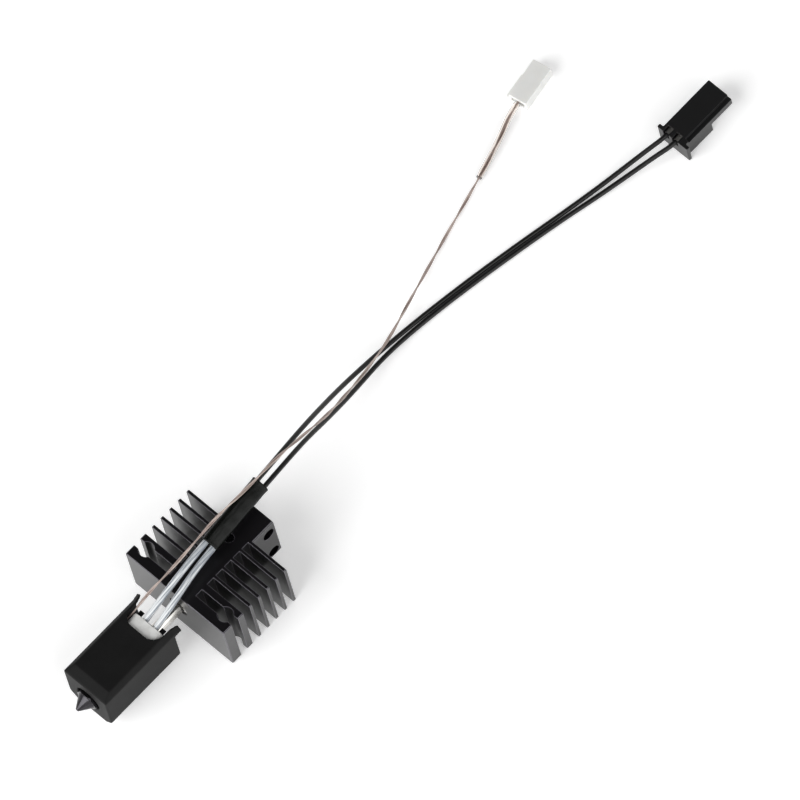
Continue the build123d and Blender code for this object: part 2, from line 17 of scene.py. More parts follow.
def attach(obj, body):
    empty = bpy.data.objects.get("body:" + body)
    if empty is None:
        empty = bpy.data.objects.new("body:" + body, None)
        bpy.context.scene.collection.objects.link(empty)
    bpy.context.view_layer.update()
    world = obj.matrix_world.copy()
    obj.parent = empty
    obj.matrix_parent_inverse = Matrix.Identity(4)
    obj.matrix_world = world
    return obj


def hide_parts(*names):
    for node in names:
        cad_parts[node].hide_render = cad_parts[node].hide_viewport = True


MM = 0.001
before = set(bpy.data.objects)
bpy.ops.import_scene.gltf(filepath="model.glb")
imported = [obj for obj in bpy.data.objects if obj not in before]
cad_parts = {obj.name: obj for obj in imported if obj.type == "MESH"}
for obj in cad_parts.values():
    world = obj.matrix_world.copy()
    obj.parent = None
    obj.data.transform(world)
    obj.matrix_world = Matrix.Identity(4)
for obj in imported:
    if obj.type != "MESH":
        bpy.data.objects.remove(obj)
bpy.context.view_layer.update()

# %% [markdown]
# ## Camera
#
# The camera looks down at the part from its nozzle end, a little to the right, with the
# view rolled so that the harness climbs across it. A long lens keeps the wires from
# spreading. Turning about Z, then tilting, then rolling is the order a tripod head has.

# %% Camera
camera_azimuth = radians(58.95)
camera_elevation = radians(64.3)
camera_roll = radians(-17.05)
camera_distance = 6.51
camera_target = Vector((3.9, 94.4, 11.3)) * MM

camera = bpy.data.objects.new("camera", bpy.data.cameras.new("camera"))
bpy.context.collection.objects.link(camera)
camera.data.lens = 1000
camera.data.sensor_width = 36
camera.matrix_world = (
    Matrix.Translation(camera_target)
    @ Matrix.Rotation(camera_azimuth, 4, "Z")
    @ Matrix.Rotation(pi / 2 - camera_elevation, 4, "X")
    @ Matrix.Rotation(camera_roll, 4, "Z")
    @ Matrix.Translation((0, 0, camera_distance))
)
bpy.context.scene.camera = camera
print("camera stands at, mm:", [round(c / MM) for c in camera.matrix_world.translation])

# %% [markdown]
# ## The run of each wire
#
# Two heater wires leave the heater, pass over the heatsink, drop to the table and run to
# a black connector. The thinner thermistor pair crosses them and ends in a white one. A
# wire is stiff enough to bend only gently, so each route is a short list of points and
# the line between them is a NURBS curve, which never has a corner. The points are the
# CAD model's own, in millimetres.

# %% Routes
lead_left_route = [
    (-1.8, -8.9, 17.6),
    (-0.9, 2.0, 24.4),
    (-1.45, 12.0, 26.3),
    (-3.2, 32.0, 26.9),
    (-4.85, 52.0, 26.3),
    (-7.5, 66.5, 22.4),
    (-11.2, 79.0, 14.2),
    (-14.0, 91.0, 7.0),
    (-15.0, 105.5, 2.4),
    (-14.0, 121.0, 0.8),
    (-11.5, 138.0, 0.8),
    (-8.4, 155.5, 0.8),
    (-5.2, 171.5, 0.8),
    (-2.8, 184.5, 0.8),
    (-0.1, 197.0, 2.6),
    (1.6, 203.2, 4.3),
    (3.05, 208.0, 5.6),
    (3.05, 211.6, 5.6),
]
lead_right_route = [
    (2.4, -8.9, 17.6),
    (3.0, 2.0, 24.6),
    (1.022, 12.0, 24.985),
    (-0.728, 32.0, 25.585),
    (-2.378, 52.0, 24.985),
    (-5.0, 65.0, 20.3),
    (-7.9, 77.0, 12.4),
    (-10.9, 89.5, 5.6),
    (-13.4, 104.5, 1.7),
    (-12.4, 120.8, 0.8),
    (-9.9, 137.7, 0.8),
    (-6.8, 155.2, 0.8),
    (-3.6, 171.2, 0.8),
    (-0.6, 184.0, 0.8),
    (2.85, 197.0, 2.6),
    (4.95, 203.2, 4.4),
    (6.65, 208.0, 5.6),
    (6.65, 211.6, 5.6),
]
thermistor_route = [
    (-6.3, -17.1, 16.2),
    (-6.3, -13.1, 16.2),
    (-6.2, -7.6, 18.7),
    (-5.4, -0.2, 22.8),
    (-4.2, 8.4, 25.7),
    (-3.7, 18.4, 28.9),
    (-3.5, 29.4, 30.9),
    (-2.7, 40.8, 31.3),
    (-3.4, 52.5, 30.2),
    (-3.8, 63.5, 26.8),
    (-5.2, 74.5, 21.0),
    (-8.2, 85.0, 14.6),
    (-11.1, 96.0, 9.4),
    (-14.3, 108.0, 6.2),
    (-19.0, 120.5, 3.4),
    (-23.3, 133.0, 1.0),
    (-27.0, 145.5, 0.65),
    (-30.1, 157.5, 0.9),
    (-33.4, 169.5, 1.2),
    (-36.4, 179.0, 1.5),
    (-38.81, 185.4, 2.3),
    (-39.883, 191.816, 2.3),
]
print("route points:", len(lead_left_route), len(lead_right_route), len(thermistor_route))


# %% A curve from a route
def cord_curve(name, route, diameter=0.0):
    """A NURBS curve on the route's points, round and capped if it has a diameter."""
    curve = bpy.data.curves.new(name, "CURVE")
    curve.dimensions = "3D"
    spline = curve.splines.new("NURBS")
    spline.points.add(len(route) - 1)
    for point, place in zip(spline.points, route):
        point.co = (*(Vector(place) * MM), 1.0)
    spline.order_u = 3
    spline.use_endpoint_u = True
    spline.resolution_u = 16
    curve.bevel_depth = diameter / 2
    curve.bevel_resolution = 5
    curve.use_fill_caps = True
    cord = bpy.data.objects.new(name, curve)
    bpy.context.collection.objects.link(cord)
    return cord


def line_of(route):
    """The points that Blender puts on a route's curve, in order."""
    guide = cord_curve("guide", route)
    mesh = bpy.data.meshes.new_from_object(guide)
    points = [v.co.copy() for v in mesh.vertices]
    bpy.data.meshes.remove(mesh)
    bpy.data.curves.remove(guide.data)
    return points


lead_d = 1.5 * MM
lead_left = cord_curve("lead_left", lead_left_route, lead_d)
lead_right = cord_curve("lead_right", lead_right_route, lead_d)
left_line = line_of(lead_left_route)
right_line = line_of(lead_right_route)
thermistor_line = line_of(thermistor_route)
print("points on the lines:", len(left_line), len(right_line), len(thermistor_line))

# %% [markdown]
# ## Drawing an outline along a line
#
# Sleeves, tubes and twisted strands all follow a wire. One way to make them is to draw
# their outline once, across the start of the line, then extrude its edges and carry the
# new ring to the next place, again and again. The places are frames: a point with three
# directions, where the last runs along the line. Each frame is turned as little as
# possible from the one before, so the outline doesn't twist by accident.


# %% Frames and sweeps
def length_of(points):
    return sum((b - a).length for a, b in zip(points, points[1:]))


def stretch(points, start, end, step):
    """The part of a line from one distance along it to another, in even steps."""
    count = max(2, round((end - start) / step))
    wanted = [start + (end - start) * i / count for i in range(count + 1)]
    found, walked = [], 0.0
    for a, b in zip(points, points[1:]):
        run = (b - a).length
        while wanted and (wanted[0] <= walked + run or b is points[-1]):
            found.append(a.lerp(b, (wanted.pop(0) - walked) / run))
        walked += run
    return found


def frames_along(points, side=(0, 0, 1)):
    side = Vector(side)
    frames = []
    for i, point in enumerate(points):
        along = (points[min(i + 1, len(points) - 1)] - points[max(i - 1, 0)]).normalized()
        side = (side - along * side.dot(along)).normalized()
        turn = Matrix((side, along.cross(side), along)).transposed()
        frames.append(Matrix.Translation(point) @ turn.to_4x4())
    return frames


def sweep(bm, outline, frames, shapes):
    """Extrudes an outline from frame to frame; shapes are its sizes, one matrix for each.

    Each vertex keeps where it was before the line was bent, for patterns that follow it.
    """
    straight = bm.verts.layers.float_vector.get("straight")
    straight = straight or bm.verts.layers.float_vector.new("straight")
    ring = [bm.verts.new(point) for point in outline]
    edges = [bm.edges.new(pair) for pair in zip(ring, ring[1:] + ring[:1])]
    for vert in ring:
        vert[straight] = vert.co
    start = bm.faces.new(reversed(ring))
    bmesh.ops.transform(bm, matrix=frames[0] @ shapes[0], verts=ring)
    walked = 0.0
    for i in range(1, len(frames)):
        walked += (frames[i].translation - frames[i - 1].translation).length
        made = bmesh.ops.extrude_edge_only(bm, edges=edges)["geom"]
        ring = [g for g in made if isinstance(g, bmesh.types.BMVert)]
        edges = [g for g in made if isinstance(g, bmesh.types.BMEdge)]
        edges = [e for e in edges if e.verts[0] in ring and e.verts[1] in ring]
        back = (frames[i - 1] @ shapes[i - 1]).inverted()
        bmesh.ops.transform(bm, matrix=frames[i] @ shapes[i] @ back, verts=ring)
        for vert in ring:
            vert[straight].z = walked
    end = bmesh.ops.contextual_create(bm, geom=edges)["faces"]
    return [start, *end]


def circle(radius, count):
    turns = [2 * pi * i / count for i in range(count)]
    return [Vector((radius * cos(a), radius * sin(a), 0)) for a in turns]


def finished(bm, name, smooth_angle=35):
    """The bmesh as an object, smooth but for edges sharper than the angle."""
    bmesh.ops.recalc_face_normals(bm, faces=bm.faces)
    mesh = bpy.data.meshes.new(name)
    bm.to_mesh(mesh)
    bm.free()
    mesh.shade_smooth()
    mesh.set_sharp_from_angle(angle=radians(smooth_angle))
    piece = bpy.data.objects.new(name, mesh)
    bpy.context.collection.objects.link(piece)
    return piece


print("left heater wire is", round(length_of(left_line) / MM), "mm long")

# %% [markdown]
# ## Glass-fibre sleeves
#
# Near the heater each wire is too hot for plastic, so it wears a sleeve of braided glass
# fibre. The bundles show as fine ridges that run along it, and the cut end is a little
# loose. The outline is a circle with a ridge for each bundle, turned slowly as it goes.

# %% Glass-fibre sleeves
sleeve_d = 2.0 * MM
sleeve_end = 33.0 * MM
sleeve_step = 0.5 * MM
sleeve_bundles = 14
points_per_bundle = 4
ridge = 0.045 * MM
looseness = 0.035
lay_of_bundles = 0.02


def glass_sleeve(name, line, seed):
    frames = frames_along(stretch(line, 0.0, sleeve_end, sleeve_step))
    outline = circle(sleeve_d / 2, sleeve_bundles * points_per_bundle)
    for valley in range(0, len(outline), points_per_bundle):
        outline[valley] *= 1 - 2 * ridge / sleeve_d
    shapes = []
    for i in range(len(frames)):
        swell = looseness * noise.noise(Vector((i * 0.21, seed, 0.5)))
        oval = Matrix.Diagonal((1 + swell, 1 - swell / 2, 1, 1))
        shapes.append(Matrix.Rotation(lay_of_bundles * i, 4, "Z") @ oval)
    bm = bmesh.new()
    sweep(bm, outline, frames, shapes)
    return finished(bm, name, 60)


sleeve_left = glass_sleeve("glass_sleeve_woven_left", left_line, 1.0)
sleeve_right = glass_sleeve("glass_sleeve_woven_right", right_line, 4.0)
print("each sleeve has", len(sleeve_left.data.polygons), "faces")

# %% [markdown]
# ## Shrink sleeve
#
# Where the sleeved wires are crimped to plain ones, one piece of black heat-shrink holds
# both joints. Shrunk over two wires side by side it is a flat oval with a shallow groove
# down the middle, soft waves, and ends that stand a little open. The outline starts as a
# circle that is pulled apart by the distance between the wires.

# %% Shrink sleeve
shrink_start = 31.6 * MM
shrink_length = 24.0 * MM
shrink_bore = 2.24 * MM
shrink_wall = 0.4 * MM
shrink_step = 0.4 * MM
flare_length = 1.0 * MM
wire_pitch = 2.8 * MM

middle_line = [(a + b) / 2 for a, b in zip(left_line, right_line)]
across_wires = right_line[len(right_line) // 8] - left_line[len(left_line) // 8]
shrink_points = stretch(middle_line, shrink_start, shrink_start + shrink_length, shrink_step)
shrink_frames = frames_along(shrink_points, across_wires)
shrink_outline = []
for p in circle(shrink_bore / 2 + shrink_wall, 48):
    side = wire_pitch / 2 if p.x > 0 else -wire_pitch / 2
    shrink_outline.append(Vector((p.x + side, p.y, 0)))
shrink_shapes = []
for i in range(len(shrink_frames)):
    from_end = min(i, len(shrink_frames) - 1 - i) * shrink_step
    flare = 0.05 * max(0.0, 1 - from_end / flare_length)
    wave = 0.03 * noise.noise(Vector((i * 0.12, 2.0, 7.0)))
    wide = 1 - 0.02 + flare / 2 + wave / 2
    thick = 1 - 0.04 + flare + wave
    shrink_shapes.append(Matrix.Diagonal((wide, thick, 1, 1)))
bm = bmesh.new()
caps = sweep(bm, shrink_outline, shrink_frames, shrink_shapes)
bmesh.ops.delete(bm, geom=caps, context="FACES_ONLY")
shrink = finished(bm, "shrink_sleeve_oval", 50)
wall = shrink.modifiers.new("wall", "SOLIDIFY")
wall.thickness = shrink_wall
wall.offset = -1
print("shrink sleeve is", round(length_of(shrink_points) / MM, 1), "mm long")

# %% [markdown]
# ## Thermistor pair
#
# The thermistor's two thin wires are twisted round each other by hand, slowly and
# unevenly. One has pinkish insulation and the other brown. Each strand is a small circle
# swept along a frame that is moved off the line and turned about it.

# %% Thermistor pair
strand_d = 0.5 * MM
twist_pitch = 26.0 * MM
first_turn = 0.6
unevenness = 0.55
pair_step = 0.8 * MM
pair_points = stretch(thermistor_line, 0.0, length_of(thermistor_line), pair_step)
pair_frames = frames_along(pair_points)
bm = bmesh.new()
for strand in (0, 1):
    strand_frames = []
    turned = pi * strand + first_turn
    for i, place in enumerate(pair_frames):
        uneven = 1 + unevenness * noise.noise(Vector((i * 0.035, 3.0, 0.0)))
        turned += 2 * pi * pair_step / twist_pitch * uneven
        off_line = Matrix.Translation((strand_d / 2, 0, 0))
        strand_frames.append(place @ Matrix.Rotation(turned, 4, "Z") @ off_line)
    before = len(bm.faces)
    sweep(bm, circle(strand_d / 2, 12), strand_frames, [Matrix.Identity(4)] * len(strand_frames))
    bm.faces.ensure_lookup_table()
    for face in bm.faces[before:]:
        face.material_index = strand
thermistor_pair = finished(bm, "thermistor_pair", 50)
print("thermistor pair is", round(length_of(pair_points) / MM), "mm long")

# %% [markdown]
# ## Clear tube
#
# The last stretch of the pair wears a clear shrink tube up to its connector. It is a
# thin wall with an inner face, because clear plastic needs both to bend light rightly.

# %% Clear tube
clear_d = 2.2 * MM
clear_wall = 0.12 * MM
clear_length = 25.5 * MM
clear_step = 0.5 * MM
bare_in_connector = 3.2 * MM
pinch_length = 2.5 * MM
clear_end = length_of(thermistor_line) - bare_in_connector
clear_points = stretch(thermistor_line, clear_end - clear_length, clear_end, clear_step)
clear_frames = frames_along(clear_points)
clear_shapes = []
for i in range(len(clear_frames)):
    wave = 0.06 * noise.noise(Vector((i * 0.15, 9.0, 1.0)))
    pinch = 0.16 * max(0.0, 1 - i * clear_step / pinch_length)
    clear_shapes.append(Matrix.Diagonal((0.94 + wave - pinch, 0.94 - wave / 2 - pinch, 1, 1)))
bm = bmesh.new()
caps = sweep(bm, circle(clear_d / 2, 24), clear_frames, clear_shapes)
bmesh.ops.delete(bm, geom=caps, context="FACES_ONLY")
clear_sleeve = finished(bm, "clear_tube_thin", 50)
wall = clear_sleeve.modifiers.new("wall", "SOLIDIFY")
wall.thickness = clear_wall
wall.offset = -1
print("clear tube is", round(length_of(clear_points) / MM, 1), "mm long")

# %% [markdown]
# ## Soft edges on the measured parts
#
# No real edge is perfectly sharp: a milled one is broken and a moulded one is round, and
# that thin round face is what catches the light. A copy of each CAD node is joined back
# from loose triangles into whole faces, and then its sharp edges are beveled. Bevelling
# an edge needs faces on both sides, so the doubles are merged first.


# %% Soften a CAD node
same_place = 0.001 * MM
nearly_flat = radians(0.5)


def softened(node, name, width, segments=2, sharper_than=32):
    """A copy of a CAD node with whole faces and rounded edges."""
    bm = bmesh.new()
    bm.from_mesh(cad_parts[node].data)
    bmesh.ops.remove_doubles(bm, verts=bm.verts, dist=same_place)
    bmesh.ops.dissolve_limit(bm, angle_limit=nearly_flat, verts=bm.verts, edges=bm.edges)
    # rim marks the new bevel faces; the anodised material paints them lighter as a highlight.
    rim = bm.faces.layers.float.new("rim")
    whole = [e for e in bm.edges if len(e.link_faces) == 2]
    sharp = [e for e in whole if e.calc_face_angle() > radians(sharper_than)]
    made = bmesh.ops.bevel(
        bm,
        geom=sharp,
        offset=width,
        offset_type="OFFSET",
        affect="EDGES",
        segments=segments,
        profile=0.5,
        material=-1,
    )
    for face in made["faces"]:
        face[rim] = 1.0
    piece = finished(bm, name, sharper_than)
    smooth = piece.modifiers.new("even_shading", "WEIGHTED_NORMAL")
    smooth.keep_sharp = True
    return piece


heatsink = softened("heatsink", "heatsink_finned", 0.09 * MM)
print("heatsink has", len(heatsink.data.polygons), "faces")

# %% [markdown]
# ## The other measured parts
#
# The sock is moulded silicone, so its edges are the softest. Connectors are injection
# moulded with small radii, and turned or stamped metal has hardly any.

# %% Soften the rest
neck = softened("heatbreak", "heatbreak_turned", 0.06 * MM)
grub = softened("heatbreak_grub_screw", "grub_screw_hex", 0.06 * MM)
ring = softened("ceramic_heater_ring", "heater_ring_fired", 0.12 * MM)
potting = softened("terminal_potting", "potting_cement", 0.25 * MM, 3)
clip = softened("retainer_clip", "retainer_clip_stamped", 0.05 * MM)
tip = softened("nozzle", "nozzle_turned", 0.06 * MM)
black_plug = softened("heater_connector_housing", "heater_connector_moulded", 0.12 * MM)
white_plug = softened("thermistor_connector_housing", "thermistor_connector_moulded", 0.12 * MM)

# %% [markdown]
# ## Silicone sock
#
# The sock is moulded in one piece from soft silicone, so every edge of it is round and
# its inner corners are filled. Beveling an edge at a time would leave creases, so the
# copy is remeshed into small even cells and smoothed, which rounds all of it alike.

# %% Silicone sock
bm = bmesh.new()
bm.from_mesh(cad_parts["silicone_sock"].data)
bmesh.ops.remove_doubles(bm, verts=bm.verts, dist=same_place)
sock = finished(bm, "silicone_sock_soft", 180)
cells = sock.modifiers.new("even_cells", "REMESH")
cells.mode = "VOXEL"
cells.voxel_size = 0.3 * MM
cells.use_smooth_shade = True
rounding = sock.modifiers.new("rounding", "SMOOTH")
rounding.factor = 0.5
rounding.iterations = 5
print("sock cells are", round(cells.voxel_size / MM, 2), "mm")

# %% [markdown]
# ## Material helpers
#
# Colours are written as the sRGB hex values that a colour picker shows, and one function
# turns them to the linear values that a shader needs. Another adds a node with its
# settings and its links, so that a material reads as a list of nodes.


# %% Material helpers
def linear(hex_colour):
    parts = [int(hex_colour[i : i + 2], 16) / 255 for i in (0, 2, 4)]
    return (*(p / 12.92 if p <= 0.04045 else ((p + 0.055) / 1.055) ** 2.4 for p in parts), 1.0)


def add(tree, kind, settings=None, links=None, into=None):
    """Adds a node. Settings are properties or input values, links feed its inputs."""
    node = tree.nodes.new(kind)
    for name, value in (settings or {}).items():
        if isinstance(name, int) or name in node.inputs:
            node.inputs[name].default_value = value
        else:
            setattr(node, name, value)
    for name, output in (links or {}).items():
        tree.links.new(output, node.inputs[name])
    if into:
        tree.links.new(node.outputs[0], into)
    return node


def start_material(name, **sockets):
    """A Principled material with uniform values on its shader's own sockets."""
    material = bpy.data.materials.new(name)
    material.use_nodes = True
    shader = material.node_tree.nodes["Principled BSDF"]
    for socket, value in sockets.items():
        shader.inputs[socket.replace("_", " ")].default_value = value
    return material, material.node_tree, shader


def wear(piece, material):
    """Puts the material on the whole piece."""
    piece.data.materials.clear()
    piece.data.materials.append(material)


print("white in linear light:", linear("ffffff")[:3])

# %% [markdown]
# ## Black anodised aluminium
#
# Milled aluminium, bead-blasted and dyed black in a clear oxide layer. To the eye it is
# a dark satin surface: nearly black face on, pale grey where it is seen at a low angle.
# Its broken edges are painted a little lighter, a painted highlight on the bevel faces. The
# real blasting is too fine to show, and is drawn at 0.35 mm so that it does.

# %% Black anodised aluminium
anodised, tree, shader = start_material("anodised_aluminium_black", Roughness=0.3, IOR=1.6)
place = add(tree, "ShaderNodeTexCoord").outputs["Object"]
cloud = add(tree, "ShaderNodeTexNoise", {"Scale": 1 / (9 * MM), "Detail": 3.0}, {"Vector": place})
dye = add(tree, "ShaderNodeValToRGB", links={"Fac": cloud.outputs["Fac"]})
dye.color_ramp.elements[0].color = linear("050406")
dye.color_ramp.elements[1].color = linear("0c0a0e")
# Painted highlight: the bevel faces marked rim are mixed towards a light grey.
rim = add(tree, "ShaderNodeAttribute", {"attribute_name": "rim"})
edge_highlight_amount = add(tree, "ShaderNodeMath", {"operation": "MULTIPLY", 1: 0.45}, {0: rim.outputs["Fac"]})
edge = add(
    tree,
    "ShaderNodeMix",
    {"data_type": "RGBA", 7: linear("8a8791")},
    {0: edge_highlight_amount.outputs[0], 6: dye.outputs["Color"]},
)
tree.links.new(edge.outputs[2], shader.inputs["Base Color"])
blast = add(tree, "ShaderNodeTexNoise", {"Scale": 1 / (0.35 * MM), "Detail": 2.0}, {"Vector": place})
add(
    tree,
    "ShaderNodeBump",
    {"Strength": 0.12, "Distance": 0.05 * MM},
    {"Height": blast.outputs["Fac"]},
    shader.inputs["Normal"],
)
wear(heatsink, anodised)
print("made", anodised.name)

# %% [markdown]
# ## Silicone rubber
#
# The sock is moulded silicone: matte, very dark grey, with a faint skin of dust and the
# grain of the mould. It lights up softly at its edges.

# %% Silicone rubber
silicone, tree, shader = start_material("silicone_rubber_black", Roughness=0.58, IOR=1.3)
place = add(tree, "ShaderNodeTexCoord").outputs["Object"]
dust = add(
    tree,
    "ShaderNodeTexNoise",
    {"Scale": 1 / (5 * MM), "Detail": 5.0, "Roughness": 0.65},
    {"Vector": place},
)
tone = add(tree, "ShaderNodeValToRGB", links={"Fac": dust.outputs["Fac"]})
tree.links.new(tone.outputs["Color"], shader.inputs["Base Color"])
tone.color_ramp.elements[0].position = 0.35
tone.color_ramp.elements[0].color = linear("080808")
tone.color_ramp.elements[1].position = 0.7
tone.color_ramp.elements[1].color = linear("0e0e0e")
grain = add(tree, "ShaderNodeTexNoise", {"Scale": 1 / (0.4 * MM), "Detail": 3.0}, {"Vector": place})
add(
    tree,
    "ShaderNodeBump",
    {"Strength": 0.25, "Distance": 0.06 * MM},
    {"Height": grain.outputs["Fac"]},
    shader.inputs["Normal"],
)
wear(sock, silicone)
print("made", silicone.name)

# %% [markdown]
# ## Turned and plated metals
#
# The neck is bright stainless steel, thin so that little heat climbs it. The nozzle and
# the clamp screw are dark hardened steel, the heater core is nickel-plated copper, and
# the clip and the thermistor's capsule are dark spring steel. Most are turned, which
# leaves fine rings round the filament axis. That axis is Y, so the bump is bands along Y.


# %% Metals
def turned_metal(name, light, dark, roughness, ring_spacing=0.3 * MM):
    material, tree, shader = start_material(name, Metallic=1.0, Roughness=roughness)
    place = add(tree, "ShaderNodeTexCoord").outputs["Object"]
    cloud = add(tree, "ShaderNodeTexNoise", {"Scale": 1 / (3 * MM), "Detail": 4.0}, {"Vector": place})
    tone = add(tree, "ShaderNodeValToRGB", links={"Fac": cloud.outputs["Fac"]})
    tree.links.new(tone.outputs["Color"], shader.inputs["Base Color"])
    tone.color_ramp.elements[0].color = linear(dark)
    tone.color_ramp.elements[1].color = linear(light)
    rings = add(
        tree,
        "ShaderNodeTexWave",
        {"bands_direction": "Y", "Scale": 0.314 / ring_spacing, "Distortion": 0.6},
        {"Vector": place},
    )
    add(
        tree,
        "ShaderNodeBump",
        {"Strength": 0.15, "Distance": 0.03 * MM},
        {"Height": rings.outputs["Fac"]},
        shader.inputs["Normal"],
    )
    return material


stainless = turned_metal("stainless_steel_turned", "e2e0dc", "b9b7b2", 0.14)
hardened = turned_metal("hardened_steel_dark", "4a494c", "2b2a2d", 0.27)
plated = turned_metal("copper_nickel_plated", "b9afa3", "8f867c", 0.3)
spring = turned_metal("spring_steel_stamped", "59595b", "38383a", 0.28)
tinned = turned_metal("copper_tinned", "cfcdc9", "a5a39f", 0.3)
wear(neck, stainless)
wear(tip, hardened)
wear(grub, hardened)
wear(clip, spring)
wear(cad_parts["thermistor_capsule"], spring)
wear(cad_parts["heater_core"], plated)
wear(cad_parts["crimp_ferrules"], tinned)
wear(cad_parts["heater_connector_terminals"], tinned)
wear(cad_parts["thermistor_connector_terminals"], tinned)
print("made five metals")

# %% [markdown]
# ## White ceramic and PTFE
#
# The heater ring is fired alumina: white, dry and slightly grainy. The cement that pots
# its terminals is the same white but rougher, and a little stained. The liner is PTFE,
# waxy white, which lets some light in.


# %% White materials
def chalky(name, light, dark, roughness, grain_size, grain_depth):
    material, tree, shader = start_material(name, Roughness=roughness, IOR=1.5)
    place = add(tree, "ShaderNodeTexCoord").outputs["Object"]
    stain = add(tree, "ShaderNodeTexNoise", {"Scale": 1 / (2.2 * MM), "Detail": 5.0}, {"Vector": place})
    tone = add(tree, "ShaderNodeValToRGB", links={"Fac": stain.outputs["Fac"]})
    tree.links.new(tone.outputs["Color"], shader.inputs["Base Color"])
    tone.color_ramp.elements[0].position = 0.3
    tone.color_ramp.elements[0].color = linear(dark)
    tone.color_ramp.elements[1].position = 0.6
    tone.color_ramp.elements[1].color = linear(light)
    grain = add(tree, "ShaderNodeTexNoise", {"Scale": 1 / grain_size, "Detail": 3.0}, {"Vector": place})
    add(
        tree,
        "ShaderNodeBump",
        {"Strength": 0.4, "Distance": grain_depth},
        {"Height": grain.outputs["Fac"]},
        shader.inputs["Normal"],
    )
    return material


alumina = chalky("alumina_fired", "ebebe8", "cfcfcb", 0.5, 0.3 * MM, 0.03 * MM)
cement = chalky("potting_cement_white", "e3e3e1", "d2d2cf", 0.6, 0.45 * MM, 0.04 * MM)
ptfe = chalky("ptfe_liner_white", "f2f2ee", "e6e6e0", 0.38, 0.5 * MM, 0.01 * MM)
ptfe.node_tree.nodes["Principled BSDF"].inputs["Subsurface Weight"].default_value = 0.3
ptfe.node_tree.nodes["Principled BSDF"].inputs["Subsurface Scale"].default_value = 1 * MM
wear(ring, alumina)
wear(potting, cement)
wear(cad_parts["ptfe_liner"], ptfe)
print("made three whites")

# %% [markdown]
# ## Wire insulation and sleeves
#
# The heater wires have satin black insulation, which shows one thin bright line along
# it. The glass fibre is white with grey-blue bundles that run lengthwise: its colour
# comes from the straightened place that the sweep kept for each vertex.

# %% Wire insulation
insulation, tree, shader = start_material("wire_insulation_black", Roughness=0.36, IOR=1.48)
place = add(tree, "ShaderNodeTexCoord").outputs["Object"]
scuff = add(tree, "ShaderNodeTexNoise", {"Scale": 1 / (8 * MM), "Detail": 1.0}, {"Vector": place})
tone = add(tree, "ShaderNodeValToRGB", links={"Fac": scuff.outputs["Fac"]})
tree.links.new(tone.outputs["Color"], shader.inputs["Base Color"])
tone.color_ramp.elements[0].color = linear("040404")
tone.color_ramp.elements[1].color = linear("0b0b0b")
add(
    tree,
    "ShaderNodeBump",
    {"Strength": 0.1, "Distance": 0.1 * MM},
    {"Height": scuff.outputs["Fac"]},
    shader.inputs["Normal"],
)
wear(lead_left, insulation)
wear(lead_right, insulation)
print("made", insulation.name)

# %% Glass fibre
fibre, tree, shader = start_material("glass_fibre_braid", Roughness=0.45, IOR=1.5, Sheen_Weight=0.2)
place = add(tree, "ShaderNodeAttribute", {"attribute_name": "straight"}).outputs["Vector"]
along_bundles = (1 / (0.5 * MM), 1 / (0.5 * MM), 1 / (9 * MM))
drawn_out = add(tree, "ShaderNodeMapping", {"Scale": along_bundles}, {"Vector": place})
bundle = add(tree, "ShaderNodeTexNoise", {"Scale": 1.0, "Detail": 3.0}, {"Vector": drawn_out.outputs[0]})
tone = add(tree, "ShaderNodeValToRGB", links={"Fac": bundle.outputs["Fac"]})
tree.links.new(tone.outputs["Color"], shader.inputs["Base Color"])
tone.color_ramp.elements[0].position = 0.36
tone.color_ramp.elements[0].color = linear("69727f")
tone.color_ramp.elements[1].position = 0.6
tone.color_ramp.elements[1].color = linear("e2e5e6")
add(
    tree,
    "ShaderNodeBump",
    {"Strength": 0.5, "Distance": 0.08 * MM},
    {"Height": bundle.outputs["Fac"]},
    shader.inputs["Normal"],
)
wear(sleeve_left, fibre)
wear(sleeve_right, fibre)
print("made", fibre.name)

# %% Heat-shrink
shrunk, tree, shader = start_material("heat_shrink_black", Roughness=0.27, IOR=1.33)
place = add(tree, "ShaderNodeAttribute", {"attribute_name": "straight"}).outputs["Vector"]
along_creases = (1 / (1.2 * MM), 1 / (1.2 * MM), 1 / (4 * MM))
crease = add(tree, "ShaderNodeMapping", {"Scale": along_creases}, {"Vector": place})
fold = add(tree, "ShaderNodeTexNoise", {"Scale": 1.0, "Detail": 4.0}, {"Vector": crease.outputs[0]})
tone = add(tree, "ShaderNodeValToRGB", links={"Fac": fold.outputs["Fac"]})
tree.links.new(tone.outputs["Color"], shader.inputs["Base Color"])
tone.color_ramp.elements[0].color = linear("030403")
tone.color_ramp.elements[1].color = linear("0c0f0c")
add(
    tree,
    "ShaderNodeBump",
    {"Strength": 0.35, "Distance": 0.3 * MM},
    {"Height": fold.outputs["Fac"]},
    shader.inputs["Normal"],
)
wear(shrink, shrunk)
print("made", shrunk.name)


# %% Thermistor insulation
def thin_insulation(name, light, dark):
    material, tree, shader = start_material(name, Roughness=0.3, IOR=1.45, Coat_Weight=0.3)
    place = add(tree, "ShaderNodeAttribute", {"attribute_name": "straight"}).outputs["Vector"]
    along_wire = (1 / (0.5 * MM), 1 / (0.5 * MM), 1 / (6 * MM))
    bands = add(tree, "ShaderNodeMapping", {"Scale": along_wire}, {"Vector": place})
    cloud = add(tree, "ShaderNodeTexNoise", {"Scale": 1.0, "Detail": 3.0}, {"Vector": bands.outputs[0]})
    tone = add(tree, "ShaderNodeValToRGB", links={"Fac": cloud.outputs["Fac"]})
    tree.links.new(tone.outputs["Color"], shader.inputs["Base Color"])
    tone.color_ramp.elements[0].position = 0.35
    tone.color_ramp.elements[0].color = linear(dark)
    tone.color_ramp.elements[1].position = 0.65
    tone.color_ramp.elements[1].color = linear(light)
    return material


pink = thin_insulation("fluoropolymer_pink", "c8b8b0", "85746d")
brown = thin_insulation("fluoropolymer_brown", "3b2620", "180e0c")
wear(thermistor_pair, pink)
thermistor_pair.data.materials.append(brown)
print("made", pink.name, "and", brown.name)

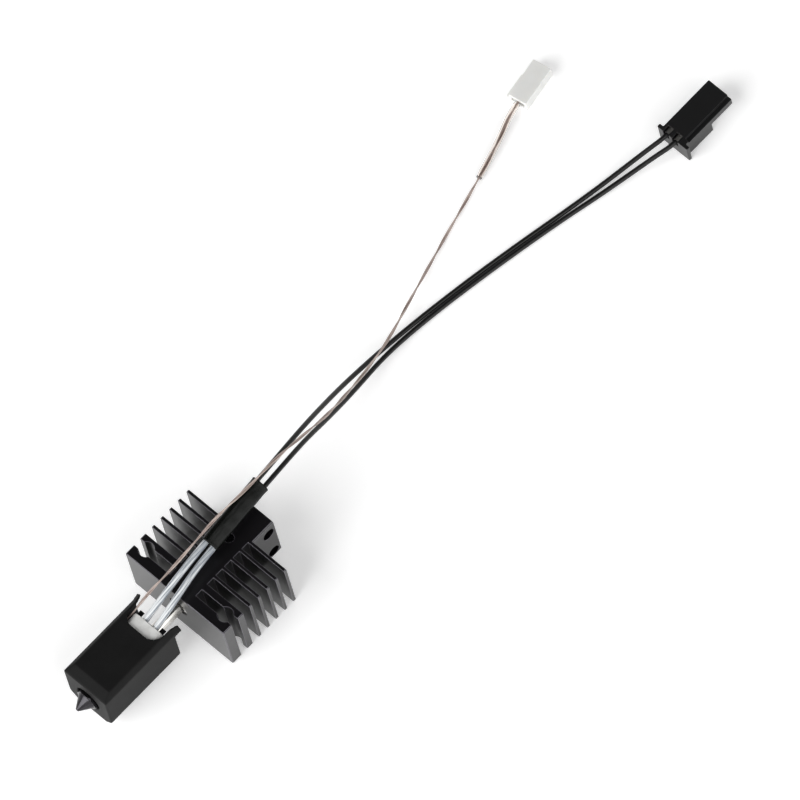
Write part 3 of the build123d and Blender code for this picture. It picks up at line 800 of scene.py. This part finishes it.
# %% Clear tube
clear, tree, shader = start_material(
    "heat_shrink_clear", Base_Color=linear("fbf7f4"), Roughness=0.08, IOR=1.3, Transmission_Weight=1.0
)
place = add(tree, "ShaderNodeTexCoord").outputs["Object"]
ripple = add(tree, "ShaderNodeTexNoise", {"Scale": 1 / (1.5 * MM), "Detail": 2.0}, {"Vector": place})
add(
    tree,
    "ShaderNodeBump",
    {"Strength": 0.2, "Distance": 0.1 * MM},
    {"Height": ripple.outputs["Fac"]},
    shader.inputs["Normal"],
)
wear(clear_sleeve, clear)
print("made", clear.name)

# %% [markdown]
# ## Moulded nylon
#
# Both connectors are injection-moulded nylon. The mould leaves a fine satin grain. The
# white one is natural nylon, milky because light goes a little way into it.


# %% Moulded nylon
def nylon(name, light, dark, roughness, milky=0.0):
    material, tree, shader = start_material(name, Roughness=roughness, IOR=1.53)
    shader.inputs["Subsurface Weight"].default_value = milky
    shader.inputs["Subsurface Radius"].default_value = (1.0, 0.95, 0.85)
    shader.inputs["Subsurface Scale"].default_value = 1.2 * MM
    place = add(tree, "ShaderNodeTexCoord").outputs["Object"]
    flow = add(tree, "ShaderNodeTexNoise", {"Scale": 1 / (4 * MM), "Detail": 3.0}, {"Vector": place})
    tone = add(tree, "ShaderNodeValToRGB", links={"Fac": flow.outputs["Fac"]})
    tree.links.new(tone.outputs["Color"], shader.inputs["Base Color"])
    tone.color_ramp.elements[0].color = linear(dark)
    tone.color_ramp.elements[1].color = linear(light)
    grain = add(tree, "ShaderNodeTexNoise", {"Scale": 1 / (0.3 * MM), "Detail": 2.0}, {"Vector": place})
    add(
        tree,
        "ShaderNodeBump",
        {"Strength": 0.2, "Distance": 0.04 * MM},
        {"Height": grain.outputs["Fac"]},
        shader.inputs["Normal"],
    )
    return material


black_nylon = nylon("nylon_black_moulded", "0e0e0f", "080809", 0.38)
white_nylon = nylon("nylon_natural_moulded", "ececea", "e2e2df", 0.4, 0.4)
wear(black_plug, black_nylon)
wear(white_plug, white_nylon)
print("made", black_nylon.name, "and", white_nylon.name)

# %% [markdown]
# ## Table and light
#
# The part lies on a white table that glows a little, as a light box does, so its shadows
# are faint. Two big soft lights stand at its right side and at the nozzle end, and a weak
# one behind. The black parts are dark face on and pale at a low angle, because there they
# mirror the white table. The sky is dim overhead and bright at the horizon for the same
# reason.

# %% Table and light
table_half = 3.0
table_drop = 0.02 * MM

table_mesh = bpy.data.meshes.new("table")
bm = bmesh.new()
bmesh.ops.create_grid(bm, x_segments=1, y_segments=1, size=table_half)
bmesh.ops.translate(bm, verts=bm.verts, vec=(0, 0, -table_drop))
bm.to_mesh(table_mesh)
bm.free()
table = bpy.data.objects.new("table", table_mesh)
bpy.context.collection.objects.link(table)
paint, tree, shader = start_material("table_white_lit", Base_Color=linear("f7f7f7"), Roughness=0.9)
shader.inputs["Emission Color"].default_value = linear("ffffff")
shader.inputs["Emission Strength"].default_value = 0.3
table_mesh.materials.append(paint)


def soft_light(name, azimuth, elevation, size, power, distance=2.5):
    """A square area light that faces the middle of the part."""
    light = bpy.data.objects.new(name, bpy.data.lights.new(name, "AREA"))
    bpy.context.collection.objects.link(light)
    light.data.shape = "SQUARE"
    light.data.size = size
    light.data.energy = power
    a, e = radians(azimuth), radians(elevation)
    direction = Vector((sin(a) * cos(e), -cos(a) * cos(e), sin(e)))
    light.location = camera_target + direction * distance
    light.rotation_euler = direction.to_track_quat("Z", "Y").to_euler()


soft_light("light_right", azimuth=85, elevation=36, size=2.2, power=26.0)
soft_light("light_nozzle_end", azimuth=-5, elevation=36, size=2.2, power=62.0)
soft_light("light_far_left", azimuth=205, elevation=30, size=2.2, power=8.0)

world = bpy.data.worlds.new("studio")
bpy.context.scene.world = world
world.use_nodes = True
tree = world.node_tree
sky = add(tree, "ShaderNodeTexCoord")
height = add(tree, "ShaderNodeSeparateXYZ", links={0: sky.outputs["Generated"]})
glow = add(tree, "ShaderNodeValToRGB", links={"Fac": height.outputs["Z"]})
glow.color_ramp.elements[0].position = 0.15
glow.color_ramp.elements[0].color = (0.9, 0.9, 0.9, 1.0)
glow.color_ramp.elements[1].position = 0.65
glow.color_ramp.elements[1].color = (0.02, 0.02, 0.02, 1.0)
background = tree.nodes["Background"]
tree.links.new(glow.outputs["Color"], background.inputs["Color"])
background.inputs["Strength"].default_value = 1.0
bpy.context.scene.view_settings.view_transform = "Standard"

# %% [markdown]
# ## Riding and standing in
#
# Every piece moves with one of the two bodies: the sock pulls off, and everything else
# stays. A new piece that stands for a CAD node hides it.

# %% Bodies and cords
stands_for = {
    heatsink: "heatsink",
    neck: "heatbreak",
    grub: "heatbreak_grub_screw",
    ring: "ceramic_heater_ring",
    potting: "terminal_potting",
    clip: "retainer_clip",
    tip: "nozzle",
    black_plug: "heater_connector_housing",
    white_plug: "thermistor_connector_housing",
    sleeve_left: "glass_sleeve_left",
    sleeve_right: "glass_sleeve_right",
    shrink: "shrink_sleeve",
    lead_left: "heater_lead_left",
    lead_right: "heater_lead_right",
    thermistor_pair: "thermistor_leads",
    clear_sleeve: "clear_tube",
}
for piece, node in stands_for.items():
    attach(piece, "hotend")
    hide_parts(node)
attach(sock, "sock")
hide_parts("silicone_sock")

print("cords, mm:", [round(length_of(line) / MM) for line in (left_line, right_line, pair_points)])
